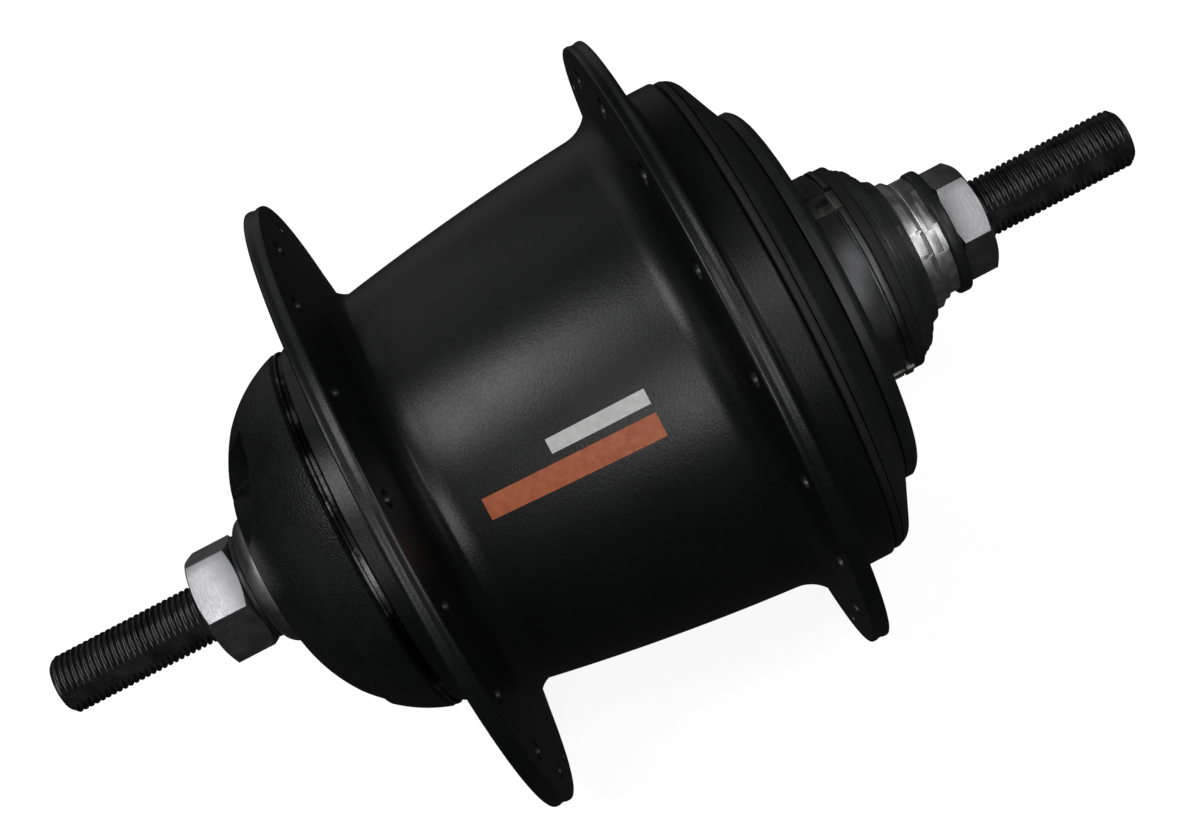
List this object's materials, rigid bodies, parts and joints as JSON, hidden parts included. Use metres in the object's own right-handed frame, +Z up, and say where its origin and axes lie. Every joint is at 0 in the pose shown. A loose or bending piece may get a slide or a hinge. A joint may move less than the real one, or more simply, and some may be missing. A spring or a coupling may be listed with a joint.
{
  "type": "bicycle hub gear",
  "caption": "Internal-gear rear bicycle hub: flanged barrel shell turning on a flatted threaded axle, domed left cap, stepped drive side with sprocket seat.",
  "frame": {"origin": "on the axle line, midway between the two dropout faces", "axes": "+Y along the axle towards the non-drive side, +X forward, +Z up; the axle's flats face along X"},
  "size_m": [0.1014, 0.184, 0.1014],
  "materials": {
    "shell_paint": "satin black enamel",
    "black_plated_steel": "black plated, semi-gloss",
    "cap_plastic": "fine moulded grain",
    "seal_rubber": "matte",
    "axle_steel": "dark phosphate, rolled thread",
    "zinc_steel": "bright zinc plate",
    "bright_ring": "polished edge",
    "bearing_steel": "ground and polished",
    "pressed_steel": "pressed sheet",
    "gear_steel": "hardened, oiled"
  },
  "bodies": {
    "axle_group": {"axle": "axle_steel", "left_locknut": "zinc_steel", "left_lock_washer": "black_plated_steel", "left_cone": "axle_steel", "left_cone_seal": "bright_ring", "left_spacer": "pressed_steel", "middle_spacer": "pressed_steel", "right_spacer": "pressed_steel", "thrust_washer": "pressed_steel", "right_cone": "zinc_steel", "right_lock_washer": "black_plated_steel", "right_locknut": "zinc_steel", "sun_gear_1": "gear_steel", "sun_gear_4": "gear_steel", "pawl_1": "gear_steel", "pawl_2": "gear_steel", "pawl_3": "gear_steel", "pawl_4": "gear_steel", "sleeve_spring": "pressed_steel"},
    "shell": {"hub_shell": "shell_paint", "left_ball_cup": "bearing_steel", "right_ball_cup": "black_plated_steel", "left_dust_cap": "cap_plastic", "cap_retaining_ring": "bright_ring", "right_cup_seal": "seal_rubber"},
    "driver": {"driver": "black_plated_steel", "driver_dust_cap": "black_plated_steel", "driver_cap": "cap_plastic", "driver_seal_ring": "seal_rubber", "ring_gear_1": "gear_steel"},
    "planet_carrier": {"carrier_right": "gear_steel", "carrier_left": "gear_steel", "drive_planet_pins": "gear_steel", "output_planet_pins": "gear_steel"},
    "output_ring": {"ring_gear_2": "gear_steel", "clutch_cam": "gear_steel", "roller_cage": "pressed_steel", "clutch_rollers": "bearing_steel"},
    "sun_gear_2": {"sun_gear_2": "gear_steel"},
    "sun_gear_3": {"sun_gear_3": "gear_steel"},
    "left_balls": {"left_balls": "bearing_steel", "left_ball_cage": "pressed_steel"},
    "right_balls": {"right_balls": "bearing_steel", "right_ball_cage": "pressed_steel"},
    "driver_balls": {"driver_balls": "bearing_steel", "driver_ball_cage": "pressed_steel"},
    "shift_sleeve": {"shift_sleeve": "gear_steel", "shift_ring": "zinc_steel"},
    "drive_planet_1": {"drive_planet_1": "gear_steel"},
    "output_planet_1": {"output_planet_1": "gear_steel"},
    "drive_planet_2": {"drive_planet_2": "gear_steel"},
    "output_planet_2": {"output_planet_2": "gear_steel"},
    "drive_planet_3": {"drive_planet_3": "gear_steel"},
    "output_planet_3": {"output_planet_3": "gear_steel"}
  },
  "joints": [
    {"name": "shell_spin", "type": "hinge", "parent": "axle_group", "child": "shell", "pos_m": [0, 0, 0], "axis": [0, 1, 0], "continuous": true},
    {"name": "driver_spin", "type": "hinge", "parent": "axle_group", "child": "driver", "pos_m": [0, 0, 0], "axis": [0, 1, 0], "continuous": true},
    {"name": "carrier_spin", "type": "hinge", "parent": "axle_group", "child": "planet_carrier", "pos_m": [0, 0, 0], "axis": [0, 1, 0], "continuous": true},
    {"name": "output_ring_spin", "type": "hinge", "parent": "axle_group", "child": "output_ring", "pos_m": [0, 0, 0], "axis": [0, 1, 0], "continuous": true},
    {"name": "sun_gear_2_spin", "type": "hinge", "parent": "axle_group", "child": "sun_gear_2", "pos_m": [0, 0, 0], "axis": [0, 1, 0], "continuous": true},
    {"name": "sun_gear_3_spin", "type": "hinge", "parent": "axle_group", "child": "sun_gear_3", "pos_m": [0, 0, 0], "axis": [0, 1, 0], "continuous": true},
    {"name": "left_balls_roll", "type": "hinge", "parent": "axle_group", "child": "left_balls", "pos_m": [0, 0, 0], "axis": [0, 1, 0], "continuous": true},
    {"name": "right_balls_roll", "type": "hinge", "parent": "axle_group", "child": "right_balls", "pos_m": [0, 0, 0], "axis": [0, 1, 0], "continuous": true},
    {"name": "driver_balls_roll", "type": "hinge", "parent": "axle_group", "child": "driver_balls", "pos_m": [0, 0, 0], "axis": [0, 1, 0], "continuous": true},
    {"name": "shift_sleeve_turn", "type": "hinge", "parent": "axle_group", "child": "shift_sleeve", "pos_m": [0, 0, 0], "axis": [0, 1, 0], "range_deg": [-60, 60]},
    {"name": "drive_planet_1_spin", "type": "hinge", "parent": "planet_carrier", "child": "drive_planet_1", "pos_m": [0, 0, 0.02138], "axis": [0, 1, 0], "continuous": true},
    {"name": "output_planet_1_spin", "type": "hinge", "parent": "planet_carrier", "child": "output_planet_1", "pos_m": [0, 0, 0.018], "axis": [0, 1, 0], "continuous": true},
    {"name": "drive_planet_2_spin", "type": "hinge", "parent": "planet_carrier", "child": "drive_planet_2", "pos_m": [-0.01851, 0, -0.01069], "axis": [0, 1, 0], "continuous": true},
    {"name": "output_planet_2_spin", "type": "hinge", "parent": "planet_carrier", "child": "output_planet_2", "pos_m": [-0.01559, 0, -0.009], "axis": [0, 1, 0], "continuous": true},
    {"name": "drive_planet_3_spin", "type": "hinge", "parent": "planet_carrier", "child": "drive_planet_3", "pos_m": [0.01851, 0, -0.01069], "axis": [0, 1, 0], "continuous": true},
    {"name": "output_planet_3_spin", "type": "hinge", "parent": "planet_carrier", "child": "output_planet_3", "pos_m": [0.01559, 0, -0.009], "axis": [0, 1, 0], "continuous": true}
  ],
  "couplings": [
    {"joint": "driver_spin", "follows": "shell_spin", "ratio": 1.1875},
    {"joint": "carrier_spin", "follows": "shell_spin", "ratio": 0.625},
    {"joint": "output_ring_spin", "follows": "shell_spin", "ratio": 1},
    {"joint": "sun_gear_2_spin", "follows": "shell_spin", "ratio": -1.1429},
    {"joint": "sun_gear_3_spin", "follows": "shell_spin", "ratio": -0.2},
    {"joint": "left_balls_roll", "follows": "shell_spin", "ratio": 0.56473},
    {"joint": "right_balls_roll", "follows": "shell_spin", "ratio": 1.088},
    {"joint": "driver_balls_roll", "follows": "shell_spin", "ratio": 0.67989},
    {"joint": "drive_planet_1_spin", "follows": "shell_spin", "ratio": 1.75},
    {"joint": "output_planet_1_spin", "follows": "shell_spin", "ratio": 1.375},
    {"joint": "drive_planet_2_spin", "follows": "shell_spin", "ratio": 1.75},
    {"joint": "output_planet_2_spin", "follows": "shell_spin", "ratio": 1.375},
    {"joint": "drive_planet_3_spin", "follows": "shell_spin", "ratio": 1.75},
    {"joint": "output_planet_3_spin", "follows": "shell_spin", "ratio": 1.375}
  ]
}
